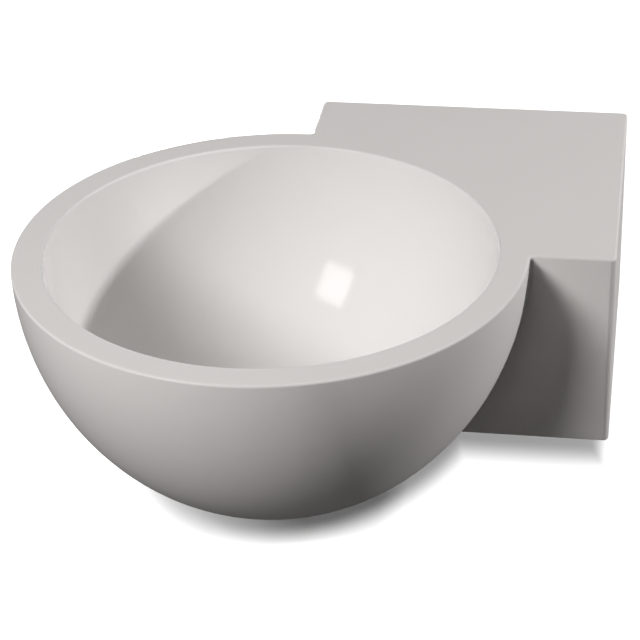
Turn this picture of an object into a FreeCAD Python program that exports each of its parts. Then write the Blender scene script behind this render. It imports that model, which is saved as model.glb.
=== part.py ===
import FreeCAD, Part
import math
import os
from FreeCAD import Placement, Rotation, Vector

# A wall hung ceramic basin: a deep round bowl whose rear quarter is grown into a square
# block with a level deck, with its pop-up waste and the bolts that hang it on the wall.
# The wall is the plane Y = 0 and the room is on the -Y side. The origin is midway between
# the two fixing holes. Every size is in millimetres.

# ---- Casting: outside form -------------------------------------------------------------
bowl_radius = 215.0          # outside of the rim
bowl_depth = 231.5           # rim level to the lowest point outside
block_width = 283.0
block_depth = 279.0
block_height = 178.0
axis_to_block_side = 2.5     # from the bowl's axis to the block's left side
axis_to_block_front = 6.5    # from the bowl's axis to the block's front
rim_edge_round = 2.0         # all round the outside of the rim and the deck
lip_round = 2.0              # inside edge of the rim
block_corner_round = 5.0     # upright corners of the block
junction_round = 4.0         # hollow corner where a block side runs into the bowl
foot_round = 2.0             # lower edge of the block

# ---- Casting: walls --------------------------------------------------------------------
rim_width = 26.0
floor_thickness = 28.0       # ceramic at the lowest point of the bowl
deck_thickness = 14.0
side_wall = 13.0
rear_wall = 15.0
cavity_corner_round = 12.0
cavity_top_round = 6.0

# ---- Wall fixing -----------------------------------------------------------------------
fixing_inset = 51.5          # from each side of the block to a bolt
fixing_drop = 60.0           # from the rim level down to the bolts
fixing_hole_radius = 13.0
bolt_radius = 5.0            # wood thread in the wall
bolt_thread_radius = 4.9     # machine thread in the room
bolt_in_wall = 58.0
bolt_tip_length = 12.0
bolt_past_nut = 7.0
bolt_end_chamfer = 1.0
bush_play = 0.3              # bush in the ceramic hole
bush_setback = 1.0           # bush stops short of the wall
bush_flange_width = 5.0      # how far the bush's flange reaches past the hole
bush_flange_thickness = 3.0
bush_bore_play = 0.3
bolt_washer_width = 10.1     # from the bolt to the washer's edge
bolt_washer_thickness = 2.5
bolt_nut_wall = 3.6          # from the thread to a flat
bolt_nut_height = 8.0

# ---- Waste fitting ---------------------------------------------------------------------
thread_play = 0.05           # between a screw and what it screws into
waste_hole_play = 2.045      # round the tail, in the ceramic
seat_depth = 4.0             # the seat's sinking below the bowl's lowest point
seat_play = 1.0              # round the flange, in its seat
seat_edge_round = 2.0
waste_floor = 10.0           # ceramic left between the seat and the recess under it
recess_room = 9.0            # round the washers, for a box spanner
recess_edge_round = 3.0
tail_radius = 20.955         # pipe thread, 1 1/4 inch
tail_wall = 2.955
tail_chamfer = 1.0
relief_depth = 0.8           # groove between the nut's thread and the outlet's thread
relief_height = 1.5
flange_reach = 9.0           # how far the flange covers the ceramic round its hole
flange_edge = 1.2
flange_thickness = 2.5
flange_slope = 6.0
throat_round = 3.0
flange_seal_thickness = 2.0
seal_play = 0.2
taper_washer_thickness = 4.0
taper_washer_nose = 2.0
friction_washer_thickness = 1.5
clamp_reach = 8.0            # how far the taper washer does so underneath
back_nut_wall = 5.045        # from the thread to a flat
back_nut_height = 8.0

# ---- Cartridge -------------------------------------------------------------------------
hub_above_tail_end = 6.0
hub_wall = 3.0
hub_height = 9.0
cross_bars = 4
cross_bar_width = 3.0
cross_bar_height = 5.0
cross_bar_root = 1.0         # how far a bar is buried in the tail's wall and in the hub
cartridge_screw_radius = 4.0
sleeve_bore_radius = 6.2
sleeve_wall = 2.3
sleeve_floor = 2.0
cam_floor_gap = 1.0          # under the stem's foot, when the plug is down
collar_thickness = 3.0
collar_nose = 2.0
collar_flat_depth = 1.5      # how deep each spanner flat of the collar is cut
stem_radius = 3.5
stem_play = 0.05
piston_play = 0.06
piston_height = 4.0
piston_stop_gap = 0.1
spring_wire_radius = 0.4
spring_wire_flats = 12
spring_turns = 6.0
spring_play = 0.5            # between the coils and the sleeve's bore
spring_end_gap = 0.05

# ---- Latch -----------------------------------------------------------------------------
latch_wire_radius = 0.4
latch_bend_radius = 0.8
latch_hole_depth = 1.2       # the wire's foot in the sleeve's floor
latch_stand_off = 1.0        # from the cam's flat to the middle of the wire
cam_radius = 3.4
cam_flat = 2.2               # from the axis to the flat that the track is cut in
cam_rim = 0.7                # above and below the track
track_depth = 0.9
track_play = 0.1             # on each side of the wire
track_half_width = 2.1
track_foot_rise = 2.7        # height of the track's pointed foot
track_lobe = 1.5             # from the middle to the top of each lobe
track_cusp = 0.8             # how far the point between the lobes comes down
track_lobe_bevel = 0.9
latch_spring_back = 1.2      # the plug's rise from full depth into the latch
notch_depth = 0.9

# ---- Plug ------------------------------------------------------------------------------
plug_travel = 6.5
plug_gap_closed = 1.5        # under the cap, when it is down
plug_radius = 31.0
plug_edge = 2.2
plug_dome = 2.6
plug_seal_reach = 1.5        # how far the seal covers the flange round its throat
plug_seal_thickness = 1.2
plug_neck_radius = 9.0
plug_head_lip = 2.5          # how far the head under the seal reaches past the neck
plug_head_height = 1.5
plug_boss_wall = 3.0
plug_boss_drop = 5.0
plug_screw_radius = 3.0
plug_screw_depth = 7.0
collar_clearance = 0.5       # between the boss and the collar, when the plug is down

# ---- Levels and places that follow -----------------------------------------------------
rim_level = fixing_drop
deck_underside = rim_level - deck_thickness
block_foot = rim_level - block_height
block_left = -block_width / 2
block_front = -block_depth
fixing_spacing = block_width - 2 * fixing_inset
bowl_x = block_left - axis_to_block_side
bowl_y = block_front - axis_to_block_front
block_corner = Vector(block_left, block_front, block_foot)
gap_round_bowl = min(-rear_wall - bowl_y, block_width / 2 - side_wall - bowl_x) - bowl_radius
inside_radius = bowl_radius - rim_width
inside_depth = bowl_depth - floor_thickness
bowl_bottom = rim_level - bowl_depth

waste_hole_radius = tail_radius + waste_hole_play
flange_radius = waste_hole_radius + flange_reach
clamp_radius = waste_hole_radius + clamp_reach
recess_radius = clamp_radius + recess_room
seat_level = rim_level - inside_depth - seat_depth
flange_underside = seat_level + flange_seal_thickness
flange_top = flange_underside + flange_thickness
recess_level = seat_level - waste_floor
friction_washer_top = recess_level - taper_washer_thickness
back_nut_top = friction_washer_top - friction_washer_thickness
throat_radius = tail_radius - tail_wall
back_nut_foot = back_nut_top - back_nut_height
outlet_thread_top = back_nut_foot - relief_height

hub_radius = cartridge_screw_radius + hub_wall
sleeve_radius = sleeve_bore_radius + sleeve_wall
plug_underside = flange_top + plug_gap_closed + plug_travel
collar_top = plug_underside - plug_travel - plug_boss_drop - collar_clearance
sleeve_top = collar_top - collar_thickness
piston_top = sleeve_top - collar_nose - piston_stop_gap

wire_room = latch_wire_radius + track_play
follower_rest = cam_rim + 2 * wire_room
follower_pressed = follower_rest + plug_travel
track_top = follower_pressed + wire_room
cam_foot = piston_top - piston_height - track_top - cam_rim

sleeve_floor_top = cam_foot - plug_travel - cam_floor_gap
hub_top = sleeve_floor_top - sleeve_floor
hub_foot = hub_top - hub_height
tail_end = hub_foot - hub_above_tail_end
spring_foot = sleeve_floor_top + spring_end_gap
spring_top = piston_top - piston_height - spring_end_gap

plug_seal_radius = throat_radius + throat_round + plug_seal_reach
plug_boss_radius = plug_screw_radius + plug_boss_wall

bush_face = rear_wall + bush_flange_thickness
washer_face = bush_face + bolt_washer_thickness
nut_face = washer_face + bolt_nut_height

seam_at_free_side = Rotation(Vector(0, 0, 1), 225)
on_bowl_axis = Placement(Vector(bowl_x, bowl_y, 0), seam_at_free_side)
into_room = Rotation(Vector(1, 0, 0), 90)
fixing_sides = {
    "left": Placement(Vector(-fixing_spacing / 2, 0, 0), into_room),
    "right": Placement(Vector(fixing_spacing / 2, 0, 0), into_room),
}


# ---- Shared operations -----------------------------------------------------------------
def turned(outline, place):
    """A solid turned about its local Z axis. An outline point is (radius, height), and an
    entry of four numbers is an arc: the point it passes through, then the one it ends at."""
    edges = []
    here = Vector(outline[0][0], 0, outline[0][1])
    for point in outline[1:] + outline[:1]:
        there = Vector(point[-2], 0, point[-1])
        if len(point) == 4:
            edges.append(Part.Arc(here, Vector(point[0], 0, point[1]), there).toShape())
        else:
            edges.append(Part.LineSegment(here, there).toShape())
        here = there
    solid = Part.Face(Part.Wire(edges)).revolve(Vector(0, 0, 0), Vector(0, 0, 1), 360)
    solid.Placement = place
    return solid


def ring(inner_radius, outer_radius, low, high, place):
    outline = [(inner_radius, low), (outer_radius, low), (outer_radius, high), (inner_radius, high)]
    return turned(outline, place)


def hexagon_nut(width, height, bore_radius, low, place):
    """A hexagon nut with its corners turned off at 30 degrees on both faces."""
    corner_radius = width / math.sqrt(3)
    corners = [
        Vector(corner_radius * math.cos(turn), corner_radius * math.sin(turn), low)
        for turn in [math.radians(60 * corner) for corner in range(7)]
    ]
    prism = Part.Face(Part.makePolygon(corners)).extrude(Vector(0, 0, height))
    face_radius = width / 2
    drop = (corner_radius - face_radius) * math.tan(math.radians(30))
    barrel = turned(
        [
            (bore_radius, low),
            (face_radius, low),
            (corner_radius, low + drop),
            (corner_radius, low + height - drop),
            (face_radius, low + height),
            (bore_radius, low + height),
        ],
        Placement(),
    )
    nut = prism.common(barrel)
    nut.Placement = place
    return nut


def edges_between(shape, is_first, is_second):
    """The edges that have a face of each of two kinds on their two sides."""
    found = []
    for edge in shape.Edges:
        faces = shape.ancestorsOfType(edge, Part.Face)
        if len(faces) != 2:
            continue
        one, other = faces
        if is_first(one) and is_second(other) or is_first(other) and is_second(one):
            found.append(edge)
    return found


def is_level(face, height):
    """True for a flat face that lies at this height."""
    box = face.BoundBox
    return box.ZLength < 0.001 and abs(box.ZMin - height) < 0.001


def is_upright(face):
    """True for a flat wall of the block."""
    return isinstance(face.Surface, Part.Plane) and abs(face.normalAt(0, 0).z) < 0.001


# ---- The ceramic casting ---------------------------------------------------------------
def half_ellipsoid(radius, depth):
    """The lower half of an ellipsoid of revolution, hanging from the rim level."""
    side = Part.BezierCurve()
    side.setPoles([Vector(radius, 0, 0), Vector(radius, 0, -depth), Vector(0, 0, -depth)])
    side.setWeight(2, math.sqrt(0.5))
    axis = Part.LineSegment(Vector(0, 0, -depth), Vector(0, 0, 0)).toShape()
    level = Part.LineSegment(Vector(0, 0, 0), Vector(radius, 0, 0)).toShape()
    profile = Part.Face(Part.Wire([side.toShape(), axis, level]))
    solid = profile.revolve(Vector(0, 0, 0), Vector(0, 0, 1), 360)
    solid.Placement = Placement(Vector(bowl_x, bowl_y, rim_level), seam_at_free_side)
    return solid


def rounded_block():
    """The block's outside. The upright corner that the bowl swallows stays square."""
    block = Part.makeBox(block_width, block_depth, block_height, block_corner)
    free_corners = [
        edge for edge in block.Edges
        if edge.BoundBox.ZLength > block_height / 2
        and (edge.BoundBox.XMin > 0 or edge.BoundBox.YMin > block_front / 2)
    ]
    block = block.makeFillet(block_corner_round, free_corners)
    foot = next(face for face in block.Faces if is_level(face, block_foot))
    return block.makeFillet(foot_round, foot.OuterWire.Edges)


def outside_form():
    """Bowl and block grown together, with their hollow corners and top edge rounded."""
    form = half_ellipsoid(bowl_radius, bowl_depth).fuse(rounded_block()).removeSplitter()

    def is_bowl(face):
        return face.BoundBox.ZMin < block_foot - 1

    form = form.makeFillet(junction_round, edges_between(form, is_bowl, is_upright))
    top = next(face for face in form.Faces if is_level(face, rim_level))
    return form.makeFillet(rim_edge_round, top.OuterWire.Edges)


def cavity():
    """The space inside the block: open below, and bounded by the back of the bowl."""
    width = block_width - 2 * side_wall
    depth = block_depth - side_wall - rear_wall
    corner = block_corner + Vector(side_wall, side_wall, 0)
    box = Part.makeBox(width, depth, deck_underside - block_foot, corner)
    upright = [edge for edge in box.Edges if edge.BoundBox.ZLength > 1]
    box = box.makeFillet(min(cavity_corner_round, gap_round_bowl / 2), upright)
    space = box.cut(half_ellipsoid(bowl_radius, bowl_depth))
    ceiling = next(face for face in space.Faces if is_level(face, deck_underside))
    return space.makeFillet(min(cavity_top_round, gap_round_bowl / 4), ceiling.OuterWire.Edges)


def level_ring(shape, radius, height):
    """The edges of the circle of one radius about the bowl's axis, at one height."""
    found = []
    for edge in shape.Edges:
        start = edge.Vertexes[0].Point
        off_radius = math.hypot(start.x - bowl_x, start.y - bowl_y) - radius
        if abs(off_radius) < 0.01 and abs(start.z - height) < 0.01 and edge.BoundBox.ZLength < 0.01:
            found.append(edge)
    return found


def inside_level_at(radius):
    """The height of the bowl's inside at a distance from its axis."""
    return rim_level - inside_depth * math.sqrt(1 - (radius / inside_radius) ** 2)


def outside_level_at(radius):
    """The height of the bowl's outside at a distance from its axis."""
    return rim_level - bowl_depth * math.sqrt(1 - (radius / bowl_radius) ** 2)


def cut_waste_seat(casting):
    """The flange's seat in the bowl, the waste hole, and the nut's recess underneath."""
    seat_radius = flange_radius + seat_play
    casting = casting.cut(ring(0, seat_radius, seat_level, rim_level, on_bowl_axis))
    casting = casting.cut(ring(0, waste_hole_radius, bowl_bottom, rim_level, on_bowl_axis))
    casting = casting.cut(ring(0, recess_radius, bowl_bottom, recess_level, on_bowl_axis))
    seat_edge = level_ring(casting, seat_radius, inside_level_at(seat_radius))
    recess_edge = level_ring(casting, recess_radius, outside_level_at(recess_radius))
    casting = casting.makeFillet(seat_edge_round, seat_edge)
    return casting.makeFillet(recess_edge_round, recess_edge)


def basin_casting():
    casting = outside_form().cut(half_ellipsoid(inside_radius, inside_depth))
    casting = casting.makeFillet(lip_round, level_ring(casting, inside_radius, rim_level))
    casting = casting.cut(cavity())
    casting = cut_waste_seat(casting)
    for side in fixing_sides.values():
        casting = casting.cut(ring(0, fixing_hole_radius, 0, rear_wall, side))
    return casting.removeSplitter()


# ---- Wall fixing -----------------------------------------------------------------------
def hanger_bolt(side):
    """Wood thread and point behind the wall's face, machine thread in front of it."""
    end = nut_face + bolt_past_nut
    outline = [
        (0, -bolt_in_wall),
        (bolt_radius, bolt_tip_length - bolt_in_wall),
        (bolt_radius, 0),
        (bolt_thread_radius, 0),
        (bolt_thread_radius, end - bolt_end_chamfer),
        (bolt_thread_radius - bolt_end_chamfer, end),
        (0, end),
    ]
    return turned(outline, side)


def bolt_bush(side):
    """Nylon sleeve in the ceramic hole, with the flange that the washer bears on."""
    bore = bolt_thread_radius + bush_bore_play
    outline = [
        (bore, bush_setback),
        (fixing_hole_radius - bush_play, bush_setback),
        (fixing_hole_radius - bush_play, rear_wall),
        (fixing_hole_radius + bush_flange_width, rear_wall),
        (fixing_hole_radius + bush_flange_width, bush_face),
        (bore, bush_face),
    ]
    return turned(outline, side)


def bolt_washer(side):
    bore = bolt_thread_radius + bush_bore_play
    outer = bolt_thread_radius + bolt_washer_width
    return ring(bore, outer, bush_face, washer_face, side)


def bolt_nut(side):
    bore = bolt_thread_radius + thread_play
    width = 2 * (bolt_thread_radius + bolt_nut_wall)
    return hexagon_nut(width, bolt_nut_height, bore, washer_face, side)


# ---- Waste fitting ---------------------------------------------------------------------
def waste_body():
    """Flange, threaded tail and, across the tail, the bars that hold the cartridge."""
    bend = throat_round * (1 - math.sqrt(0.5))
    outline = [
        (throat_radius, tail_end),
        (tail_radius - tail_chamfer, tail_end),
        (tail_radius, tail_end + tail_chamfer),
        (tail_radius, outlet_thread_top),
        (tail_radius - relief_depth, outlet_thread_top),
        (tail_radius - relief_depth, back_nut_foot),
        (tail_radius, back_nut_foot),
        (tail_radius, flange_underside),
        (flange_radius, flange_underside),
        (flange_radius, flange_underside + flange_edge),
        (flange_radius - flange_slope, flange_top),
        (throat_radius + throat_round, flange_top),
        (throat_radius + bend, flange_top - bend, throat_radius, flange_top - throat_round),
    ]
    body = turned(outline, on_bowl_axis)
    hub = ring(0, hub_radius, hub_foot, hub_top, on_bowl_axis)
    for bar in range(cross_bars):
        body = body.fuse(cross_bar(360 * bar / cross_bars))
    body = body.fuse(hub)
    bore = cartridge_screw_radius + thread_play
    return body.cut(ring(0, bore, hub_foot, hub_top, on_bowl_axis)).removeSplitter()


def cross_bar(turn):
    """One flat bar from the hub to the tail's wall, buried a little in both."""
    reach = throat_radius + cross_bar_root
    corner = Vector(cartridge_screw_radius + cross_bar_root, -cross_bar_width / 2, hub_foot)
    bar = Part.makeBox(reach - corner.x, cross_bar_width, cross_bar_height, corner)
    bar.Placement = on_bowl_axis * Placement(Vector(0, 0, 0), Rotation(Vector(0, 0, 1), turn))
    return bar


def flange_seal():
    bore = tail_radius + seal_play
    return ring(bore, flange_radius - seal_play, seat_level, flange_underside, on_bowl_axis)


def taper_washer():
    """Rubber ring under the ceramic, with a nose that wedges into the waste hole."""
    bore = tail_radius + seal_play
    nose = waste_hole_radius - seal_play
    outline = [
        (bore, friction_washer_top),
        (clamp_radius - taper_washer_nose, friction_washer_top),
        (clamp_radius, recess_level),
        (nose, recess_level),
        (nose - seal_play, recess_level + taper_washer_nose),
        (bore, recess_level + taper_washer_nose),
    ]
    return turned(outline, on_bowl_axis)


def friction_washer():
    outer = clamp_radius - taper_washer_nose
    return ring(tail_radius + seal_play, outer, back_nut_top, friction_washer_top, on_bowl_axis)


def back_nut():
    bore = tail_radius + thread_play
    width = 2 * (tail_radius + back_nut_wall)
    return hexagon_nut(width, back_nut_height, bore, back_nut_foot, on_bowl_axis)


# ---- Cartridge -------------------------------------------------------------------------
def cartridge_sleeve():
    """Cylinder with a screw under it for the hub, open at the top for the piston."""
    outline = [
        (0, hub_foot),
        (cartridge_screw_radius, hub_foot),
        (cartridge_screw_radius, hub_top),
        (sleeve_radius, hub_top),
        (sleeve_radius, sleeve_top),
        (sleeve_bore_radius, sleeve_top),
        (sleeve_bore_radius, sleeve_floor_top),
        (0, sleeve_floor_top),
    ]
    sleeve = turned(outline, Placement())
    hole_foot = Vector(cam_flat + latch_stand_off, 0, sleeve_floor_top - latch_hole_depth)
    hole = Part.makeCylinder(latch_wire_radius + thread_play, latch_hole_depth, hole_foot)
    sleeve = sleeve.cut(hole)
    sleeve.Placement = on_bowl_axis
    return sleeve


def sleeve_collar():
    """Screwed lid of the sleeve: it guides the stem, and its nose stops the piston."""
    bore = stem_radius + stem_play
    nose = sleeve_bore_radius - thread_play
    outline = [
        (bore, sleeve_top - collar_nose),
        (nose, sleeve_top - collar_nose),
        (nose, sleeve_top),
        (sleeve_radius, sleeve_top),
        (sleeve_radius, collar_top),
        (bore, collar_top),
    ]
    half_width = sleeve_radius - collar_flat_depth
    corner = Vector(-half_width, -sleeve_radius, sleeve_top - collar_nose)
    height = collar_nose + collar_thickness
    flats = Part.makeBox(2 * half_width, 2 * sleeve_radius, height, corner)
    collar = turned(outline, Placement()).common(flats)
    collar.Placement = on_bowl_axis
    return collar


def plug_spring():
    """Wire wound from the sleeve's floor up to the piston. Its round is twelve flats."""
    coil_radius = sleeve_bore_radius - spring_play - spring_wire_radius
    height = spring_top - spring_foot - 2 * spring_wire_radius
    helix = Part.makeHelix(height / spring_turns, height, coil_radius)
    section = Part.makePolygon([
        Vector(
            coil_radius + spring_wire_radius * math.cos(turn), 0, spring_wire_radius * math.sin(turn)
        )
        for turn in [math.tau * flat / spring_wire_flats for flat in range(spring_wire_flats + 1)]
    ])
    coil = Part.Wire(helix).makePipeShell([section], True, True)
    lift = Placement(Vector(0, 0, spring_foot + spring_wire_radius), Rotation())
    coil.Placement = on_bowl_axis * lift
    return coil


def heart_track():
    """The groove in the cam's flat. It climbs on one side of a heart-shaped island, drops
    into the notch that holds the plug down, and returns on the other side."""
    steepness = track_foot_rise / track_half_width
    foot = cam_rim
    island_half_width = track_half_width - 2 * wire_room
    island_foot = foot + 2 * wire_room * math.hypot(1, steepness)
    notch = follower_pressed - latch_spring_back - math.sqrt(2) * latch_wire_radius
    wall = [
        (0, foot),
        (track_half_width, foot + track_foot_rise),
        (track_half_width, track_top - track_lobe_bevel),
        (track_lobe, track_top),
        (0, track_top - track_cusp),
        (-track_lobe, track_top),
        (-track_half_width, track_top - track_lobe_bevel),
        (-track_half_width, foot + track_foot_rise),
    ]
    island = [
        (0, island_foot),
        (island_half_width, island_foot + island_half_width * steepness),
        (island_half_width, notch + notch_depth),
        (0, notch),
        (-island_half_width, notch + notch_depth),
        (-island_half_width, island_foot + island_half_width * steepness),
    ]
    return groove_block(wall).cut(groove_block(island))


def groove_block(outline):
    """An outline on the cam's flat, given as (across, height on the cam), sunk to the
    track's depth."""
    corners = [Vector(cam_flat, across, cam_foot + height) for across, height in outline]
    return Part.Face(Part.makePolygon(corners + corners[:1])).extrude(Vector(-track_depth, 0, 0))


def plug_stem():
    """Cam and piston in the sleeve, stem through the collar, and the screw for the cap."""
    piston = sleeve_bore_radius - piston_play
    shoulder = plug_underside - plug_boss_drop
    screw_end = shoulder + plug_screw_depth - thread_play
    outline = [
        (0, cam_foot),
        (cam_radius, cam_foot),
        (cam_radius, piston_top - piston_height),
        (piston, piston_top - piston_height),
        (piston, piston_top),
        (stem_radius, piston_top),
        (stem_radius, shoulder),
        (plug_screw_radius, shoulder),
        (plug_screw_radius, screw_end),
        (0, screw_end),
    ]
    cam_length = piston_top - piston_height - cam_foot
    beyond_flat = Part.makeBox(
        cam_radius, 2 * cam_radius, cam_length, Vector(cam_flat, -cam_radius, cam_foot)
    )
    stem = turned(outline, Placement()).cut(beyond_flat).cut(heart_track())
    stem.Placement = on_bowl_axis
    return stem


def latch_wire():
    """Spring wire that stands in the sleeve's floor, its bent tip in the cam's track."""
    stand = cam_flat + latch_stand_off
    tip_height = cam_foot + follower_rest
    tip = cam_flat - track_depth + track_play
    foot = Vector(stand, 0, sleeve_floor_top - latch_hole_depth)
    bend_start = Vector(stand, 0, tip_height - latch_bend_radius)
    bend_end = Vector(stand - latch_bend_radius, 0, tip_height)
    inset = latch_bend_radius * (1 - math.sqrt(0.5))
    bend_middle = Vector(stand - inset, 0, tip_height - inset)
    path = Part.Wire([
        Part.LineSegment(foot, bend_start).toShape(),
        Part.Arc(bend_start, bend_middle, bend_end).toShape(),
        Part.LineSegment(bend_end, Vector(tip, 0, tip_height)).toShape(),
    ])
    section = Part.Wire(Part.makeCircle(latch_wire_radius, foot, Vector(0, 0, 1)))
    wire = path.makePipeShell([section], True, False)
    wire.Placement = on_bowl_axis
    return wire


# ---- Plug ------------------------------------------------------------------------------
def plug_cap():
    """Low dome with a groove for the seal and a boss tapped for the stem."""
    groove_foot = plug_underside - plug_seal_thickness
    head_foot = groove_foot - plug_head_height
    boss_foot = plug_underside - plug_boss_drop
    edge_top = plug_underside + plug_edge
    dome_top = edge_top + plug_dome
    dome_radius = (plug_radius ** 2 + plug_dome ** 2) / (2 * plug_dome)
    half_way = plug_radius / 2
    half_way_top = dome_top - dome_radius + math.sqrt(dome_radius ** 2 - half_way ** 2)
    bore = plug_screw_radius + thread_play
    outline = [
        (bore, boss_foot),
        (plug_boss_radius, boss_foot),
        (plug_boss_radius, head_foot),
        (plug_neck_radius + plug_head_lip, head_foot),
        (plug_neck_radius + plug_head_lip, groove_foot),
        (plug_neck_radius, groove_foot),
        (plug_neck_radius, plug_underside),
        (plug_radius, plug_underside),
        (plug_radius, edge_top),
        (half_way, half_way_top, 0, dome_top),
        (0, boss_foot + plug_screw_depth),
        (bore, boss_foot + plug_screw_depth),
    ]
    return turned(outline, on_bowl_axis)


def plug_seal():
    foot = plug_underside - plug_seal_thickness
    inner = plug_neck_radius + thread_play
    return ring(inner, plug_seal_radius, foot, plug_underside, on_bowl_axis)


# ---- Build -----------------------------------------------------------------------------
def save(shape, node):
    shape.exportStep("parts/" + node + ".step")


os.makedirs("parts", exist_ok=True)
for make in [
    basin_casting, waste_body, flange_seal, taper_washer, friction_washer, back_nut,
    cartridge_sleeve, sleeve_collar, plug_spring, latch_wire, plug_stem, plug_cap, plug_seal,
]:
    save(make(), make.__name__)
for make in [hanger_bolt, bolt_bush, bolt_washer, bolt_nut]:
    for name, side in fixing_sides.items():
        save(make(side), make.__name__ + "_" + name)
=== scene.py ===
import math

import bpy
from mathutils import Matrix, Vector


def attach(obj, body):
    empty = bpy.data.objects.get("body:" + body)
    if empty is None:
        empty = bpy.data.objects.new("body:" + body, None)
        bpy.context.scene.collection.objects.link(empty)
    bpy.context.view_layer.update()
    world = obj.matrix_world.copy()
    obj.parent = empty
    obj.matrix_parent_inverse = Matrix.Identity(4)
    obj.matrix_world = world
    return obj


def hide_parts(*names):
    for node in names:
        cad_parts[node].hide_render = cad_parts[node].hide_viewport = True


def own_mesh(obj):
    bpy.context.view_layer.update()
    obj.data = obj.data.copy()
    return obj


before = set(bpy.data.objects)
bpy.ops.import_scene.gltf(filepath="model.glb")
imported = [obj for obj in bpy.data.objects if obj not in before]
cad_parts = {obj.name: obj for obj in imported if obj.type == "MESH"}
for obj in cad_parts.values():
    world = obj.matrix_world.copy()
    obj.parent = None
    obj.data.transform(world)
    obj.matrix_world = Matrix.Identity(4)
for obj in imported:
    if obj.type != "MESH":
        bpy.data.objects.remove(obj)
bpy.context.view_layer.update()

# ---- Camera ----------------------------------------------------------------------------
# The basin is seen from its room side, a little from the right and from well above the
# rim, through a long lens about two metres away.
camera_place = (0.1623, -1.8606, 0.9444)
camera_yaw = math.radians(9.60)
camera_pitch = math.radians(30.81)
camera_roll = math.radians(-1.85)
camera_data = bpy.data.cameras.new("camera")
camera_data.sensor_width = 36
camera_data.lens = 123.93
camera = bpy.data.objects.new("camera", camera_data)
bpy.context.scene.collection.objects.link(camera)
camera.matrix_world = (
    Matrix.Translation(camera_place)
    @ Matrix.Rotation(camera_yaw, 4, "Z")
    @ Matrix.Rotation(math.pi / 2 - camera_pitch, 4, "X")
    @ Matrix.Rotation(camera_roll, 4, "Z")
)
bpy.context.scene.camera = camera

# ---- Studio: floor and surroundings ----------------------------------------------------
# A pale sweep of floor lies just under the waste's tail. Its glow for the camera is weak in an
# oval and an oblong round the foot of the bowl and of the block, which paints shade there as
# well as letting the basin's own shadow show. Past them the glow paints the floor white, as the
# room is. Both throw little light on the basin.
floor_level, floor_size = -0.1915, 14
floor_seen = 0.86            # its paint, as the camera sees it
# The glow is weak inside the oval and oblong, where it paints shade, and full past them.
floor_glow = (0.10, 1.0)     # added for the camera: in the shadow, and past it
floor_bounce = 0.13          # its paint, for the light that it throws on the basin
room_light = 0.004
shade_oval_middle, shade_oval_turn, shade_oval_reach = (-0.131, -0.107), math.radians(-11.5), (0.1425, 0.2215)
shade_oblong_middle, shade_oblong_reach = (0.024, 0.078), (0.097, 0.246)
# Where the painted shade round the foot gives way to the white floor.
painted_shade_fade = (1.03, 1.26)   # in shares of the reach, from shadow to white


def length_of(nodes, links, vector):
    """How long a vector is."""
    length = nodes.new("ShaderNodeVectorMath")
    length.operation = "LENGTH"
    links.new(vector, length.inputs[0])
    return length.outputs["Value"]


def pick(nodes, links, operation, one, other):
    """The smaller or the larger of two values."""
    choice = nodes.new("ShaderNodeMath")
    choice.operation = operation
    links.new(one, choice.inputs[0])
    links.new(other, choice.inputs[1])
    return choice.outputs["Value"]


bpy.ops.object.select_all(action="DESELECT")
bpy.ops.mesh.primitive_plane_add(size=floor_size, location=(0, 0, floor_level))
floor = bpy.context.object
floor.name = "floor"
bpy.ops.object.transform_apply(location=True)
floor_paint = bpy.data.materials.new("floor_paint")
floor_paint.use_nodes = True
floor.data.materials.append(floor_paint)
nodes, links = floor_paint.node_tree.nodes, floor_paint.node_tree.links
nodes.clear()
rays = nodes.new("ShaderNodeLightPath")
seen = nodes.new("ShaderNodeBsdfDiffuse")
seen.inputs["Color"].default_value = (floor_seen, floor_seen, floor_seen, 1)
where = nodes.new("ShaderNodeTexCoord")
under_bowl = nodes.new("ShaderNodeMapping")
under_block = nodes.new("ShaderNodeMapping")
for under, middle, turn, reach in (
    (under_bowl, shade_oval_middle, shade_oval_turn, shade_oval_reach),
    (under_block, shade_oblong_middle, 0.0, shade_oblong_reach),
):
    under.vector_type = "TEXTURE"
    under.inputs["Location"].default_value = (*middle, floor_level)
    under.inputs["Rotation"].default_value = (0, 0, turn)
    under.inputs["Scale"].default_value = (*reach, 1)
    links.new(where.outputs["Object"], under.inputs["Vector"])
from_oval = length_of(nodes, links, under_bowl.outputs["Vector"])
beside = nodes.new("ShaderNodeVectorMath")
beside.operation = "ABSOLUTE"
links.new(under_block.outputs["Vector"], beside.inputs[0])
sides = nodes.new("ShaderNodeSeparateXYZ")
links.new(beside.outputs["Vector"], sides.inputs["Vector"])
from_oblong = pick(nodes, links, "MAXIMUM", sides.outputs["X"], sides.outputs["Y"])
away = pick(nodes, links, "MINIMUM", from_oval, from_oblong)
# Weak glow near the basin paints shade on the floor; full glow past it paints the floor white.
shade_to_white_ramp = nodes.new("ShaderNodeMapRange")
shade_to_white_ramp.interpolation_type = "SMOOTHSTEP"
limits = (*painted_shade_fade, *floor_glow)
for socket, value in zip(("From Min", "From Max", "To Min", "To Max"), limits):
    shade_to_white_ramp.inputs[socket].default_value = value
links.new(away, shade_to_white_ramp.inputs["Value"])
glow = nodes.new("ShaderNodeEmission")
links.new(shade_to_white_ramp.outputs["Result"], glow.inputs["Strength"])
seen_white = nodes.new("ShaderNodeAddShader")
bounce = nodes.new("ShaderNodeBsdfDiffuse")
bounce.inputs["Color"].default_value = (floor_bounce, floor_bounce, floor_bounce, 1)
camera_or_light = nodes.new("ShaderNodeMixShader")
facing = nodes.new("ShaderNodeNewGeometry")
clear = nodes.new("ShaderNodeBsdfTransparent")
above_or_below = nodes.new("ShaderNodeMixShader")
output = nodes.new("ShaderNodeOutputMaterial")
links.new(seen.outputs["BSDF"], seen_white.inputs[0])
links.new(glow.outputs["Emission"], seen_white.inputs[1])
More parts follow.
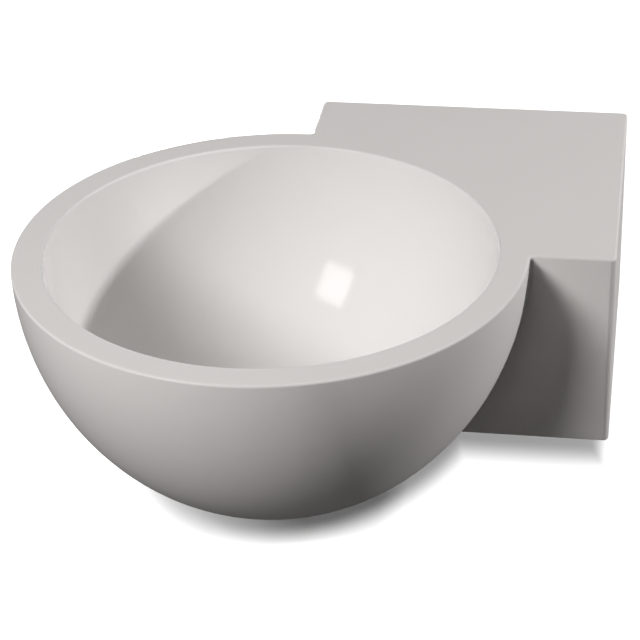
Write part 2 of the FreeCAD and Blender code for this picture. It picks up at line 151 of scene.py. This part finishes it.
links.new(rays.outputs["Is Camera Ray"], camera_or_light.inputs["Fac"])
links.new(bounce.outputs["BSDF"], camera_or_light.inputs[1])
links.new(seen_white.outputs["Shader"], camera_or_light.inputs[2])
links.new(facing.outputs["Backfacing"], above_or_below.inputs["Fac"])
links.new(camera_or_light.outputs["Shader"], above_or_below.inputs[1])
links.new(clear.outputs["BSDF"], above_or_below.inputs[2])
links.new(above_or_below.outputs["Shader"], output.inputs["Surface"])

world = bpy.data.worlds.new("room")
bpy.context.scene.world = world
world.use_nodes = True
nodes, links = world.node_tree.nodes, world.node_tree.links
background = nodes["Background"]
background.inputs["Color"].default_value = (1, 1, 1, 1)
rays = nodes.new("ShaderNodeLightPath")
white_rays = pick(
    nodes, links, "MAXIMUM", rays.outputs["Is Camera Ray"], rays.outputs["Is Glossy Ray"]
)
white_rays = pick(nodes, links, "MAXIMUM", white_rays, rays.outputs["Is Transmission Ray"])
strength = nodes.new("ShaderNodeMapRange")
strength.inputs["To Min"].default_value = room_light
strength.inputs["To Max"].default_value = 1.0
links.new(white_rays, strength.inputs["Value"])
links.new(strength.outputs["Result"], background.inputs["Strength"])

# ---- Studio: lamps ---------------------------------------------------------------------
# A square soft box to the left in front throws the bowl's shadow on the block. A small lamp
# low on the right lights the bowl's left wall over the rim. Two weak wide ones above soften
# the shadows, and one low behind lights the side that meets the wall.
lamp_target = Vector((-0.1, -0.25, 0.0))


def soft_box(name, azimuth, elevation, distance, side, level):
    """A square lamp aimed at the bowl, that lights what faces it to this level."""
    data = bpy.data.lights.new(name, "AREA")
    data.shape = "SQUARE"
    data.size = side
    data.energy = level * math.pi ** 2 * distance ** 2
    lamp = bpy.data.objects.new(name, data)
    bpy.context.scene.collection.objects.link(lamp)
    turn, rise = math.radians(azimuth), math.radians(elevation)
    outward = math.cos(rise)
    towards = Vector((outward * math.cos(turn), outward * math.sin(turn), math.sin(rise)))
    lamp.location = lamp_target + distance * towards
    lamp.rotation_euler = towards.to_track_quat("Z", "Y").to_euler()
    return lamp


soft_box("key_lamp", azimuth=-124.5, elevation=35.0, distance=2.5, side=0.76, level=0.678)
side_lamp = soft_box(
    "side_lamp", azimuth=14.0, elevation=15.5, distance=2.0, side=0.07, level=0.536
)
side_lamp.visible_glossy = False    # no glare on the deck
soft_box("top_lamp", azimuth=-60.0, elevation=85.0, distance=2.0, side=1.60, level=0.089)
soft_box("fill_lamp", azimuth=60.0, elevation=45.0, distance=2.0, side=1.60, level=0.080)
soft_box("back_lamp", azimuth=108.0, elevation=-1.0, distance=2.0, side=0.30, level=0.32)

bpy.context.scene.view_settings.view_transform = "Standard"

# ---- Ceramic casting -------------------------------------------------------------------
# One slip-cast body: the round bowl grown into the square block. It is fired with a warm
# white glaze, glossy in the bowl, satin outside, and ground bare where it meets the wall.
bowl_x, bowl_y, rim_level = -0.144, -0.2855, 0.060
inside_radius, inside_depth = 0.189, 0.2035
satin_from = (1.002, 1.012)      # in shares of the bowl's inside, from glossy to satin
bare_from = (-0.0012, -0.0002)   # in metres from the wall, from glaze to bare ceramic
# The inside colours are lighter than the outside ones: partly painted light that lifts the
# shade in the bowl, beside the real glossy and satin finishes.
inside_colors_painted_lighter = (0.923, 0.898, 0.885), (0.905, 0.879, 0.865)
satin_colors = (0.896, 0.861, 0.843), (0.869, 0.833, 0.814)
bare_colors = (0.70, 0.66, 0.60), (0.78, 0.75, 0.69)
glossy_roughness, satin_roughness, bare_roughness = 0.12, 0.34, 0.85
glaze_specular = 0.11


def new_finish(name, color, metallic, roughness):
    """A material, with its nodes, links and shader for the finish to be built on."""
    material = bpy.data.materials.new(name)
    material.use_nodes = True
    shader = material.node_tree.nodes["Principled BSDF"]
    shader.inputs["Base Color"].default_value = (*color, 1)
    shader.inputs["Metallic"].default_value = metallic
    shader.inputs["Roughness"].default_value = roughness
    return material, material.node_tree.nodes, material.node_tree.links, shader


def place_on_piece(nodes, links, scale=(1, 1, 1), centre=(0, 0, 0)):
    """Coordinates fixed to the piece, moved to a centre and then scaled."""
    where = nodes.new("ShaderNodeTexCoord")
    mapping = nodes.new("ShaderNodeMapping")
    mapping.inputs["Location"].default_value = [-c * s for c, s in zip(centre, scale)]
    mapping.inputs["Scale"].default_value = scale
    links.new(where.outputs["Object"], mapping.inputs["Vector"])
    return mapping.outputs["Vector"]


def noise(nodes, links, vector, scale, detail):
    """Smooth noise read at these coordinates."""
    texture = nodes.new("ShaderNodeTexNoise")
    texture.inputs["Scale"].default_value = scale
    texture.inputs["Detail"].default_value = detail
    links.new(vector, texture.inputs["Vector"])
    return texture.outputs["Fac"]


def spread(nodes, links, value, low, high, start=0.0, end=1.0):
    """A value carried from start..end to low..high."""
    carried = nodes.new("ShaderNodeMapRange")
    carried.inputs["From Min"].default_value = start
    carried.inputs["From Max"].default_value = end
    carried.inputs["To Min"].default_value = low
    carried.inputs["To Max"].default_value = high
    links.new(value, carried.inputs["Value"])
    return carried.outputs["Result"]


def blend_colors(nodes, links, share, one, other):
    """Two colours mixed by a share. Each is a colour, or a socket that gives one."""
    mix = nodes.new("ShaderNodeMix")
    mix.data_type = "RGBA"
    links.new(share, mix.inputs["Factor"])
    for socket, color in ((mix.inputs["A"], one), (mix.inputs["B"], other)):
        if isinstance(color, bpy.types.NodeSocket):
            links.new(color, socket)
        else:
            socket.default_value = (*color, 1)
    return mix.outputs["Result"]


def relief(nodes, links, shader, height, depth, strength):
    """Small unevenness of the surface, this many metres deep."""
    bump = nodes.new("ShaderNodeBump")
    bump.inputs["Strength"].default_value = strength
    bump.inputs["Distance"].default_value = depth
    links.new(height, bump.inputs["Height"])
    links.new(bump.outputs["Normal"], shader.inputs["Normal"])


def dress(node_names, material):
    """Gives CAD nodes their finish."""
    for name in node_names:
        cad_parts[name].material_slots[0].material = material


glaze, nodes, links, shader = new_finish("glazed_ceramic", (0.80, 0.78, 0.76), 0.0, 0.3)
surface = place_on_piece(nodes, links)
from_bowl = place_on_piece(
    nodes, links,
    scale=(1 / inside_radius, 1 / inside_radius, 1 / inside_depth),
    centre=(bowl_x, bowl_y, rim_level),
)
outside = spread(nodes, links, length_of(nodes, links, from_bowl), 0, 1, *satin_from)
clouds = noise(nodes, links, surface, scale=9.0, detail=3.0)
# Inside and outside colours meet at the lip; the lighter inside is partly painted light.
glaze_color = blend_colors(
    nodes, links, outside,
    blend_colors(nodes, links, clouds, *inside_colors_painted_lighter),
    blend_colors(nodes, links, clouds, *satin_colors),
)
from_wall = nodes.new("ShaderNodeSeparateXYZ")
links.new(surface, from_wall.inputs["Vector"])
bare = spread(nodes, links, from_wall.outputs["Y"], 0, 1, *bare_from)
grit = noise(nodes, links, surface, scale=900.0, detail=2.0)
bare_color = blend_colors(nodes, links, grit, *bare_colors)
final_color = blend_colors(nodes, links, bare, glaze_color, bare_color)
links.new(final_color, shader.inputs["Base Color"])
glaze_roughness = spread(nodes, links, outside, glossy_roughness, satin_roughness)
final_roughness = nodes.new("ShaderNodeMix")
links.new(bare, final_roughness.inputs["Factor"])
links.new(glaze_roughness, final_roughness.inputs["A"])
final_roughness.inputs["B"].default_value = bare_roughness
links.new(final_roughness.outputs["Result"], shader.inputs["Roughness"])
swell = noise(nodes, links, surface, scale=14.0, detail=1.0)
relief(nodes, links, shader, swell, depth=0.0004, strength=0.35)
shader.inputs["Specular IOR Level"].default_value = glaze_specular
dress(["basin_casting"], glaze)

# ---- Waste body ------------------------------------------------------------------------
# A turned brass fitting, chromium plated. Its flange sits in the bowl's seat and its tail,
# cut with 1 1/4 inch pipe thread, goes down through the hole. Four bars hold the cartridge.
mm = 0.001
weld_gap = 0.002 * mm
bowl_axis = (bowl_x, bowl_y, 0)
flange_radius, flange_underside, flange_top = 32.0, -145.5, -143.0
land_radius, mouth_radius = 25.6, 22.5
neck_radius, neck_tip, neck_end = 20.9, 18.9, -152.0
tail_tip, tail_end = 18.2, -190.0
tail_radius, thread_core, thread_clear, pipe_pitch = 20.955, 19.476, 21.6, 2.309
groove_radius, groove_low, groove_high = 19.3, -172.5, -171.0
throat_radius, throat_round, throat_top = 18.0, 3.0, -146.0
hub_radius, hub_bore, hub_low, hub_high = 7.0, 4.05, -184.0, -175.0
bar_width, bar_height = 3.0, 5.0
bar_length = 2 * (throat_radius + 0.8)


def select_only(piece):
    """Makes this the one selected and active piece."""
    bpy.ops.object.select_all(action="DESELECT")
    piece.select_set(True)
    bpy.context.view_layer.objects.active = piece


def draw_outline(name, outline):
    """A line through points of radius and height in millimetres, extruded from one point."""
    bpy.ops.object.select_all(action="DESELECT")
    bpy.ops.mesh.primitive_plane_add(size=mm)
    piece = bpy.context.object
    piece.name = piece.data.name = name
    bpy.ops.object.mode_set(mode="EDIT")
    bpy.ops.mesh.select_all(action="SELECT")
    bpy.ops.mesh.merge(type="CENTER")
    here = Vector((0, 0, 0))
    for step, (radius, height) in enumerate(outline):
        there = Vector((radius, 0, height)) * mm
        if step:
            bpy.ops.mesh.extrude_vertices_move(TRANSFORM_OT_translate={"value": there - here})
        else:
            bpy.ops.transform.translate(value=there)
        here = there
    bpy.ops.object.mode_set(mode="OBJECT")
    return piece


def apply_modifier(piece, kind, **settings):
    """Adds a modifier with these settings and applies it."""
    select_only(piece)
    modifier = piece.modifiers.new(kind.lower(), kind)
    for setting, value in settings.items():
        setattr(modifier, setting, value)
    bpy.ops.object.modifier_apply(modifier=modifier.name)


def join_ends(piece):
    """Joins the two ends of an outline that comes back to its start."""
    select_only(piece)
    bpy.ops.object.mode_set(mode="EDIT")
    bpy.ops.mesh.select_all(action="SELECT")
    bpy.ops.mesh.remove_doubles(threshold=weld_gap)
    bpy.ops.object.mode_set(mode="OBJECT")


def clean_up(piece):
    """Joins points that coincide, closes what is open and turns all faces outward."""
    select_only(piece)
    bpy.ops.object.mode_set(mode="EDIT")
    bpy.ops.mesh.select_all(action="SELECT")
    bpy.ops.mesh.remove_doubles(threshold=weld_gap)
    bpy.ops.mesh.fill_holes(sides=0)
    bpy.ops.mesh.select_all(action="SELECT")
    bpy.ops.mesh.normals_make_consistent(inside=False)
    bpy.ops.object.mode_set(mode="OBJECT")


def turn_outline(name, outline, steps=96):
    """A solid turned about its own upright axis. An outline that isn't on the axis at both
    ends is closed into a ring."""
    if outline[0][0] > 0 or outline[-1][0] > 0:
        outline = outline + outline[:1]
    piece = draw_outline(name, outline)
    join_ends(piece)
    apply_modifier(
        piece, "SCREW", steps=steps, render_steps=steps, use_merge_vertices=True,
        merge_threshold=weld_gap, use_smooth_shade=False,
    )
    clean_up(piece)
    return piece


def threaded_rod(name, core, crest, pitch, low, high, flanks, steps):
    """A rod with one pitch of thread wound up it and its two ends cut level. The flanks are
    the shares of a pitch at which the ridge begins, reaches its crest, leaves it and ends."""
    start = low - pitch
    rise, crest_from, crest_to, fall = flanks
    outline = [
        (core, start),
        (core, start + rise * pitch),
        (crest, start + crest_from * pitch),
        (crest, start + crest_to * pitch),
        (core, start + fall * pitch),
        (core, start + pitch),
    ]
    if fall == 1:    # the ridge ends where the next pitch begins
        outline.pop()
    rod = draw_outline(name, outline)
    turns = math.ceil((high - low) / pitch) + 2
    apply_modifier(
        rod, "SCREW", steps=steps, render_steps=steps, screw_offset=pitch * mm,
        iterations=turns, use_merge_vertices=False, use_smooth_shade=False,
    )
    select_only(rod)
    bpy.ops.object.mode_set(mode="EDIT")
    bpy.ops.mesh.select_all(action="SELECT")
    bpy.ops.mesh.remove_doubles(threshold=weld_gap)
    for level, below in ((low, True), (high, False)):
        bpy.ops.mesh.select_all(action="SELECT")
        bpy.ops.mesh.bisect(
            plane_co=(0, 0, level * mm), plane_no=(0, 0, 1),
            use_fill=True, clear_inner=below, clear_outer=not below, threshold=0.001 * mm,
        )
    bpy.ops.mesh.select_all(action="SELECT")
    bpy.ops.mesh.normals_make_consistent(inside=False)
    bpy.ops.object.mode_set(mode="OBJECT")
    return rod


def combine(piece, other, operation):
    """Joins the other piece to this one, cuts it away or keeps only what they share."""
    apply_modifier(piece, "BOOLEAN", operation=operation, solver="EXACT", object=other)
    bpy.data.objects.remove(other)


def ease_edges(piece, width, angle=40):
    """Small rounds on the edges sharper than this angle."""
    apply_modifier(
        piece, "BEVEL", width=width * mm, segments=2, limit_method="ANGLE",
        angle_limit=math.radians(angle), use_clamp_overlap=True,
    )


def arc(centre, radius, start, end, count):
    """Points on an arc, in radius and height. The angles are in degrees from outward. The
    radius is rounded, so that a point on the axis is exactly on it."""
    turns = [math.radians(start + (end - start) * step / count) for step in range(count + 1)]
    return [
        (round(centre[0] + radius * math.cos(turn), 6), centre[1] + radius * math.sin(turn))
        for turn in turns
    ]


def put(piece, turn=(0, 0, 0), move=(0, 0, 0)):
    """Turns and moves a piece, with its place left in its mesh."""
    select_only(piece)
    piece.rotation_euler = turn
    piece.location = move
    bpy.ops.object.transform_apply(location=True, rotation=True, scale=True)


def finish_piece(piece, node, body, material):
    """Smooths a piece, gives it its finish, and lets it stand for its node."""
    select_only(piece)
    bpy.ops.object.shade_smooth_by_angle(angle=math.radians(35))
    piece.data.materials.clear()
    piece.data.materials.append(material)
    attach(piece, body)
    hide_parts(node)


def mottle(nodes, links, shader, spots, colors, roughness, share=(0.0, 1.0)):
    """Lets colour and roughness drift between two values each, as the spots do."""
    links.new(blend_colors(nodes, links, spots, *colors), shader.inputs["Base Color"])
    links.new(spread(nodes, links, spots, *roughness, *share), shader.inputs["Roughness"])


v_thread = (0.10, 0.42, 0.56, 0.88)
waste = turn_outline("waste_fitting", [
    (0, neck_end), (neck_tip, neck_end), (thread_core, neck_end + 0.6),
    (thread_core, neck_end + 1.6), (neck_radius, neck_end + 2.8),
    (neck_radius, flange_underside), (flange_radius, flange_underside),
    (flange_radius, flange_underside + 1.0), (flange_radius - 0.3, flange_underside + 1.3),
    (land_radius + 0.4, flange_top - 0.06), (land_radius, flange_top), (0, flange_top),
])
tail = threaded_rod(
    "tail_thread", thread_core, tail_radius, pipe_pitch,
    low=tail_end, high=neck_end + 1.0, flanks=v_thread, steps=96,
)
tail_limits = turn_outline("tail_limits", [
    (0, tail_end - 2.0), (tail_tip, tail_end - 2.0), (thread_clear, tail_end + 1.4),
    (thread_clear, groove_low), (groove_radius, groove_low), (groove_radius, groove_high),
    (thread_clear, groove_high), (thread_clear, neck_end - 0.3),
    (neck_tip + 0.1, neck_end + 2.3), (0, neck_end + 2.3),
], steps=90)
combine(tail, tail_limits, "INTERSECT")
combine(waste, tail, "UNION")
throat = turn_outline("throat", [
    (0, tail_end - 3.0), (throat_radius + 1.2, tail_end - 3.0), (throat_radius, tail_end + 0.6),
    (throat_radius, throat_top),
    *arc(
        (throat_radius + throat_round, throat_top), throat_round, start=180, end=96, count=8
    ),
    (mouth_radius, flange_top + 0.1), (mouth_radius, flange_top + 2.0), (0, flange_top + 2.0),
])
combine(waste, throat, "DIFFERENCE")
hub = turn_outline("hub", [
    (0, hub_low), (hub_radius, hub_low), (hub_radius, hub_high), (0, hub_high),
], steps=64)
ease_edges(hub, 0.4)
for turn in (45, 135):
    bpy.ops.object.select_all(action="DESELECT")
    bpy.ops.mesh.primitive_cube_add(size=mm)
    bar = bpy.context.object
    bar.scale = (bar_length, bar_width, bar_height)
    bar.location.z = (hub_low + bar_height / 2) * mm
    bar.rotation_euler.z = math.radians(turn)
    bpy.ops.object.transform_apply(location=True, rotation=True, scale=True)
    ease_edges(bar, 0.5)
    combine(hub, bar, "UNION")
bore = turn_outline("hub_bore", [
    (0, hub_low - 2.0), (hub_bore, hub_low - 2.0), (hub_bore, hub_high + 2.0),
    (0, hub_high + 2.0),
], steps=48)
combine(hub, bore, "DIFFERENCE")
combine(waste, hub, "UNION")
clean_up(waste)
put(waste, move=bowl_axis)

chrome, nodes, links, shader = new_finish("polished_chrome", (0.72, 0.73, 0.74), 1.0, 0.06)
surface = place_on_piece(nodes, links)
film = noise(nodes, links, surface, scale=60.0, detail=4.0)
film_colors = (0.735, 0.745, 0.760), (0.690, 0.700, 0.710)
mottle(nodes, links, shader, film, film_colors, roughness=(0.03, 0.13), share=(0.35, 0.7))
polish = noise(nodes, links, surface, scale=220.0, detail=2.0)
relief(nodes, links, shader, polish, depth=0.00001, strength=0.4)
finish_piece(waste, "waste_body", "basin", chrome)

# ---- Seals and washers of the waste ----------------------------------------------------
# Black rubber under the flange and under the ceramic, the lower one with a nose that wedges
# into the hole. A hard white washer lets the nut turn without dragging the rubber round.
ring_bore = tail_radius + 0.2
seal_radius, seal_underside = 31.8, -147.5
nose_radius, nose_top, ceramic_underside = 22.6, -155.5, -157.5
slip_radius, slip_top, slip_underside = 29.0, -161.5, -163.0

rubber, nodes, links, shader = new_finish("black_rubber", (0.022, 0.022, 0.023), 0.0, 0.6)
surface = place_on_piece(nodes, links)
bloom = noise(nodes, links, surface, scale=120.0, detail=4.0)
bloom_colors = (0.018, 0.018, 0.019), (0.042, 0.041, 0.040)
mottle(nodes, links, shader, bloom, bloom_colors, roughness=(0.5, 0.78))
mould_grain = noise(nodes, links, surface, scale=2600.0, detail=2.0)
relief(nodes, links, shader, mould_grain, depth=0.00003, strength=0.6)

flange_ring = turn_outline("flange_ring", [
    (ring_bore, seal_underside), (seal_radius - 0.3, seal_underside),
    (seal_radius, seal_underside + 0.4), (seal_radius, flange_underside - 0.4),
    (seal_radius - 0.3, flange_underside), (ring_bore, flange_underside),
])
ease_edges(flange_ring, 0.2)
put(flange_ring, move=bowl_axis)
finish_piece(flange_ring, "flange_seal", "basin", rubber)

wedge_ring = turn_outline("wedge_ring", [
    (ring_bore, slip_top), (slip_radius - 0.8, slip_top), (slip_radius, slip_top + 0.3),
    (slip_radius + 2.0, ceramic_underside), (nose_radius + 0.2, ceramic_underside),
    (nose_radius + 0.05, ceramic_underside + 0.4), (nose_radius, nose_top),
    (ring_bore, nose_top),
])
ease_edges(wedge_ring, 0.25)
put(wedge_ring, move=bowl_axis)
finish_piece(wedge_ring, "taper_washer", "basin", rubber)

white_plastic, nodes, links, shader = new_finish("white_plastic", (0.80, 0.80, 0.78), 0.0, 0.4)
surface = place_on_piece(nodes, links)
flow = noise(nodes, links, surface, scale=80.0, detail=3.0)
flow_colors = (0.815, 0.812, 0.795), (0.770, 0.765, 0.745)
mottle(nodes, links, shader, flow, flow_colors, roughness=(0.34, 0.48))
mould_grain = noise(nodes, links, surface, scale=1500.0, detail=1.0)
relief(nodes, links, shader, mould_grain, depth=0.00001, strength=0.5)

slip_ring = turn_outline("slip_ring", [
    (ring_bore, slip_underside), (slip_radius, slip_underside), (slip_radius, slip_top),
    (ring_bore, slip_top),
])
ease_edges(slip_ring, 0.2)
put(slip_ring, move=bowl_axis)
finish_piece(slip_ring, "friction_washer", "basin", white_plastic)
dress(["sleeve_collar"], white_plastic)

# ---- Back nut --------------------------------------------------------------------------
# A hexagon of brass, 52 mm across its flats, faced and chamfered on the lathe. It is screwed
# up the tail and pulls the flange down on the ceramic.
tail_nut_flats, tail_nut_bore = 52.0, 21.0


def lathe_marks(nodes, links, centre):
    """Fine rings left by the turning tool, round an upright axis."""
    radius = length_of(nodes, links, place_on_piece(nodes, links, (1, 1, 0), centre))
    height = nodes.new("ShaderNodeSeparateXYZ")
    links.new(place_on_piece(nodes, links), height.inputs["Vector"])
    ring = nodes.new("ShaderNodeCombineXYZ")
    links.new(radius, ring.inputs["X"])
    links.new(height.outputs["Z"], ring.inputs["Y"])
    return noise(nodes, links, ring.outputs["Vector"], scale=3500.0, detail=2.0)


brass, nodes, links, shader = new_finish("turned_brass", (0.72, 0.56, 0.30), 1.0, 0.3)
surface = place_on_piece(nodes, links)
tarnish = noise(nodes, links, surface, scale=70.0, detail=4.0)
tarnish_colors = (0.760, 0.585, 0.300), (0.600, 0.440, 0.225)
mottle(nodes, links, shader, tarnish, tarnish_colors, roughness=(0.22, 0.42), share=(0.3, 0.7))
rings = lathe_marks(nodes, links, bowl_axis)
relief(nodes, links, shader, rings, depth=0.00002, strength=0.6)


def hexagon(name, flats, bore, low, high):
    """A nut: a six-sided bar, its corners turned off at 30 degrees, and bored."""
    corner, face = flats / math.sqrt(3), flats / 2 - 0.3
    drop = (corner - face) * math.tan(math.radians(30))
    bpy.ops.object.select_all(action="DESELECT")
    bpy.ops.mesh.primitive_cylinder_add(
        vertices=6, radius=corner * mm, depth=(high - low) * mm,
        location=(0, 0, (low + high) / 2 * mm), rotation=(0, 0, math.radians(30)),
    )
    nut = bpy.context.object
    nut.name = nut.data.name = name
    bpy.ops.object.transform_apply(location=True, rotation=True)
    barrel = turn_outline("barrel", [
        (bore + 0.5, low - 0.01), (face, low - 0.01), (corner + 0.2, low + drop),
        (corner + 0.2, high - drop), (face, high + 0.01), (bore + 0.5, high + 0.01),
        (bore, high - 0.5), (bore, low + 0.5),
    ], steps=72)
    combine(nut, barrel, "INTERSECT")
    ease_edges(nut, 0.15, angle=25)
    clean_up(nut)
    return nut


tail_nut = hexagon("tail_nut", tail_nut_flats, tail_nut_bore, groove_high, slip_underside)
put(tail_nut, move=bowl_axis)
finish_piece(tail_nut, "back_nut", "basin", brass)

# ---- Cartridge -------------------------------------------------------------------------
# A turned brass sleeve, screwed into the hub. The spring in it pushes the stem's piston up
# against the collar, and a wire latch runs in the heart-shaped track of the stem's cam.
coil_radius, wire_radius = 5.3, 0.4
coil_steps, wire_sides = 40, 12
spring_foot, spring_top = -172.95, -156.15
end_pitch, end_turns, open_turns = 0.85, 1, 5
open_pitch = (
    spring_top - spring_foot - 2 * wire_radius - 2 * end_pitch * end_turns
) / open_turns

dress(["cartridge_sleeve", "plug_stem"], brass)

spring_wire, nodes, links, shader = new_finish("spring_wire", (0.60, 0.60, 0.60), 1.0, 0.25)
surface = place_on_piece(nodes, links, scale=(1, 1, 6))
drawn = noise(nodes, links, surface, scale=900.0, detail=3.0)
drawn_colors = (0.640, 0.635, 0.625), (0.520, 0.515, 0.505)
mottle(nodes, links, shader, drawn, drawn_colors, roughness=(0.18, 0.36))
dress(["latch_wire"], spring_wire)

spring = None
height = spring_foot + wire_radius
for pitch, turns in ((end_pitch, end_turns), (open_pitch, open_turns), (end_pitch, end_turns)):
    bpy.ops.object.select_all(action="DESELECT")
    bpy.ops.mesh.primitive_circle_add(
        vertices=wire_sides, radius=wire_radius * mm, rotation=(math.pi / 2, 0, 0),
        location=(coil_radius * mm, 0, height * mm),
    )
    coil = bpy.context.object
    bpy.ops.object.transform_apply(location=True, rotation=True)
    apply_modifier(
        coil, "SCREW", steps=coil_steps, render_steps=coil_steps, screw_offset=pitch * mm,
        iterations=turns, use_merge_vertices=False, use_smooth_shade=False,
    )
    height += pitch * turns
    if spring:
        select_only(spring)
        coil.select_set(True)
        bpy.ops.object.join()
    else:
        spring = coil
spring.name = spring.data.name = "lift_spring"
clean_up(spring)
put(spring, move=bowl_axis)
finish_piece(spring, "plug_spring", "basin", spring_wire)
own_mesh(spring)

# ---- Plug ------------------------------------------------------------------------------
# A low dome of chromium plated brass, screwed on the stem. A flat silicone ring is stretched
# into the groove under it and closes on the flange when the plug is pressed down.
plug_underside, plug_radius = -135.0, 31.0
edge_top, dome_top = -132.8, -130.2
dome_height = dome_top - edge_top
dome_radius = (plug_radius ** 2 + dome_height ** 2) / (2 * dome_height)
dome_edge = 90 - math.degrees(math.asin(plug_radius / dome_radius))
socket_radius, socket_top = 3.05, -133.0
boss_radius, boss_end = 6.0, -140.0
lip_radius, lip_end = 11.5, -137.7
ring_groove, ring_underside, ring_radius = 9.0, -136.2, 22.5

cap = turn_outline("plug_top", [
    (0, socket_top), (socket_radius, socket_top), (socket_radius, boss_end),
    (boss_radius, boss_end), (boss_radius, lip_end), (lip_radius, lip_end),
    (lip_radius, ring_underside), (ring_groove, ring_underside),
    (ring_groove, plug_underside), (plug_radius, plug_underside),
    *arc((0, dome_top - dome_radius), dome_radius, start=dome_edge, end=90, count=14),
], steps=128)
ease_edges(cap, 0.6)
put(cap, move=bowl_axis)
finish_piece(cap, "plug_cap", "plug", chrome)

silicone, nodes, links, shader = new_finish("grey_silicone", (0.55, 0.55, 0.53), 0.0, 0.45)
surface = place_on_piece(nodes, links)
haze = noise(nodes, links, surface, scale=150.0, detail=3.0)
haze_colors = (0.600, 0.600, 0.580), (0.500, 0.500, 0.480)
mottle(nodes, links, shader, haze, haze_colors, roughness=(0.38, 0.55))
mould_grain = noise(nodes, links, surface, scale=1800.0, detail=2.0)
relief(nodes, links, shader, mould_grain, depth=0.00001, strength=0.5)

plug_ring = turn_outline("plug_ring", [
    (ring_groove + 0.05, ring_underside), (ring_radius - 1.5, ring_underside),
    (ring_radius - 0.1, ring_underside + 0.5), (ring_radius, ring_underside + 0.8),
    (ring_radius - 0.2, plug_underside), (ring_groove + 0.05, plug_underside),
], steps=128)
ease_edges(plug_ring, 0.15)
put(plug_ring, move=bowl_axis)
finish_piece(plug_ring, "plug_seal", "plug", silicone)

# ---- Hanger bolts ----------------------------------------------------------------------
# Two M10 bolts of zinc plated steel. The coarse wood thread with its point is screwed into a
# wall plug. The machine thread stands out into the block and takes the washer and nut.
half_spacing = 0.090
bolt_end, bolt_point = 35.5, -58.0
bolt_core, bolt_crest, bolt_pitch, bolt_thread_from = 3.98, 4.9, 1.5, 2.0
wood_core, wood_crest, wood_pitch, wood_thread_to = 3.6, 5.0, 4.0, -4.0
wood_flanks = (0.55, 0.76, 0.80, 1)
tip_length, tip_left = 12.0, 0.10
tip_from = bolt_point + tip_length
bolt_clear, shank_radius = 5.4, 4.5
bush_bore, bush_radius, bush_head = 5.2, 12.7, 18.0
bush_from, head_from, head_to = 1.0, 15.0, 18.0
washer_radius, washer_to = 15.0, 20.5
nut_flats, nut_bore, nut_to = 17.0, 4.95, 28.5

zinc, nodes, links, shader = new_finish("zinc_plate", (0.66, 0.67, 0.68), 1.0, 0.36)
surface = place_on_piece(nodes, links)
spangle = noise(nodes, links, surface, scale=90.0, detail=5.0)
spangle_colors = (0.680, 0.695, 0.715), (0.560, 0.565, 0.560)
mottle(nodes, links, shader, spangle, spangle_colors, roughness=(0.28, 0.46), share=(0.3, 0.7))
rolled = noise(nodes, links, surface, scale=700.0, detail=3.0)
relief(nodes, links, shader, rolled, depth=0.00002, strength=0.5)

wood_thread = threaded_rod(
    "wood_thread", wood_core, wood_crest, wood_pitch,
    low=-tip_length, high=wood_thread_to - tip_from, flanks=wood_flanks, steps=40,
)
apply_modifier(
    wood_thread, "SIMPLE_DEFORM", deform_method="TAPER", deform_axis="Z",
    factor=1 - tip_left, limits=(0, tip_length / (tip_length + wood_thread_to - tip_from)),
)
put(wood_thread, move=(0, 0, tip_from * mm))
bolt = threaded_rod(
    "bolt", bolt_core, bolt_crest, bolt_pitch,
    low=bolt_thread_from, high=bolt_end, flanks=v_thread, steps=48,
)
bolt_limits = turn_outline("bolt_limits", [
    (0, bolt_thread_from - 1.0), (bolt_clear - 1.8, bolt_thread_from - 1.0),
    (bolt_clear, bolt_thread_from + 0.8), (bolt_clear, bolt_end - 1.2),
    (bolt_clear - 1.7, bolt_end + 0.5), (0, bolt_end + 0.5),
], steps=50)
combine(bolt, bolt_limits, "INTERSECT")
shank = turn_outline("shank", [
    (0, wood_thread_to - 1.0), (shank_radius - 1.0, wood_thread_to - 1.0),
    (shank_radius, wood_thread_to + 0.4), (shank_radius, bolt_thread_from - 0.2),
    (shank_radius - 0.6, bolt_thread_from + 0.6), (0, bolt_thread_from + 0.6),
], steps=52)
combine(bolt, shank, "UNION")
combine(bolt, wood_thread, "UNION")
clean_up(bolt)

bush = turn_outline("bush", [
    (bush_bore, bush_from), (bush_radius - 0.4, bush_from), (bush_radius, bush_from + 1.2),
    (bush_radius, head_from), (bush_head, head_from), (bush_head, head_to),
    (bush_bore, head_to),
])
ease_edges(bush, 0.4)
washer = turn_outline("washer", [
    (bush_bore, head_to), (washer_radius, head_to), (washer_radius, washer_to),
    (bush_bore, washer_to),
])
ease_edges(washer, 0.3)
nut = hexagon("nut", nut_flats, nut_bore, washer_to, nut_to)

nylon, nodes, links, shader = new_finish("grey_nylon", (0.62, 0.63, 0.61), 0.0, 0.5)
surface = place_on_piece(nodes, links)
mould_flow = noise(nodes, links, surface, scale=45.0, detail=4.0)
nylon_colors = (0.640, 0.645, 0.625), (0.560, 0.565, 0.545)
mottle(nodes, links, shader, mould_flow, nylon_colors, roughness=(0.42, 0.6))
mould_grain = noise(nodes, links, surface, scale=1100.0, detail=2.0)
relief(nodes, links, shader, mould_grain, depth=0.00002, strength=0.5)

for piece, name, node, slot, material in (
    (bolt, "wall_bolt", "hanger_bolt", "zinc_steel", zinc),
    (bush, "wall_bush", "bolt_bush", "nylon", nylon),
    (washer, "wall_washer", "bolt_washer", "zinc_steel", zinc),
    (nut, "wall_nut", "bolt_nut", "zinc_steel", zinc),
):
    put(piece, turn=(math.pi / 2, 0, 0))
    bpy.ops.object.duplicate()
    twin = bpy.context.object
    for each, side, place in ((piece, "left", -half_spacing), (twin, "right", half_spacing)):
        each.name = each.data.name = name + "_" + side
        put(each, move=(place, 0, 0))
        finish_piece(each, node + "_" + side, "basin", material)
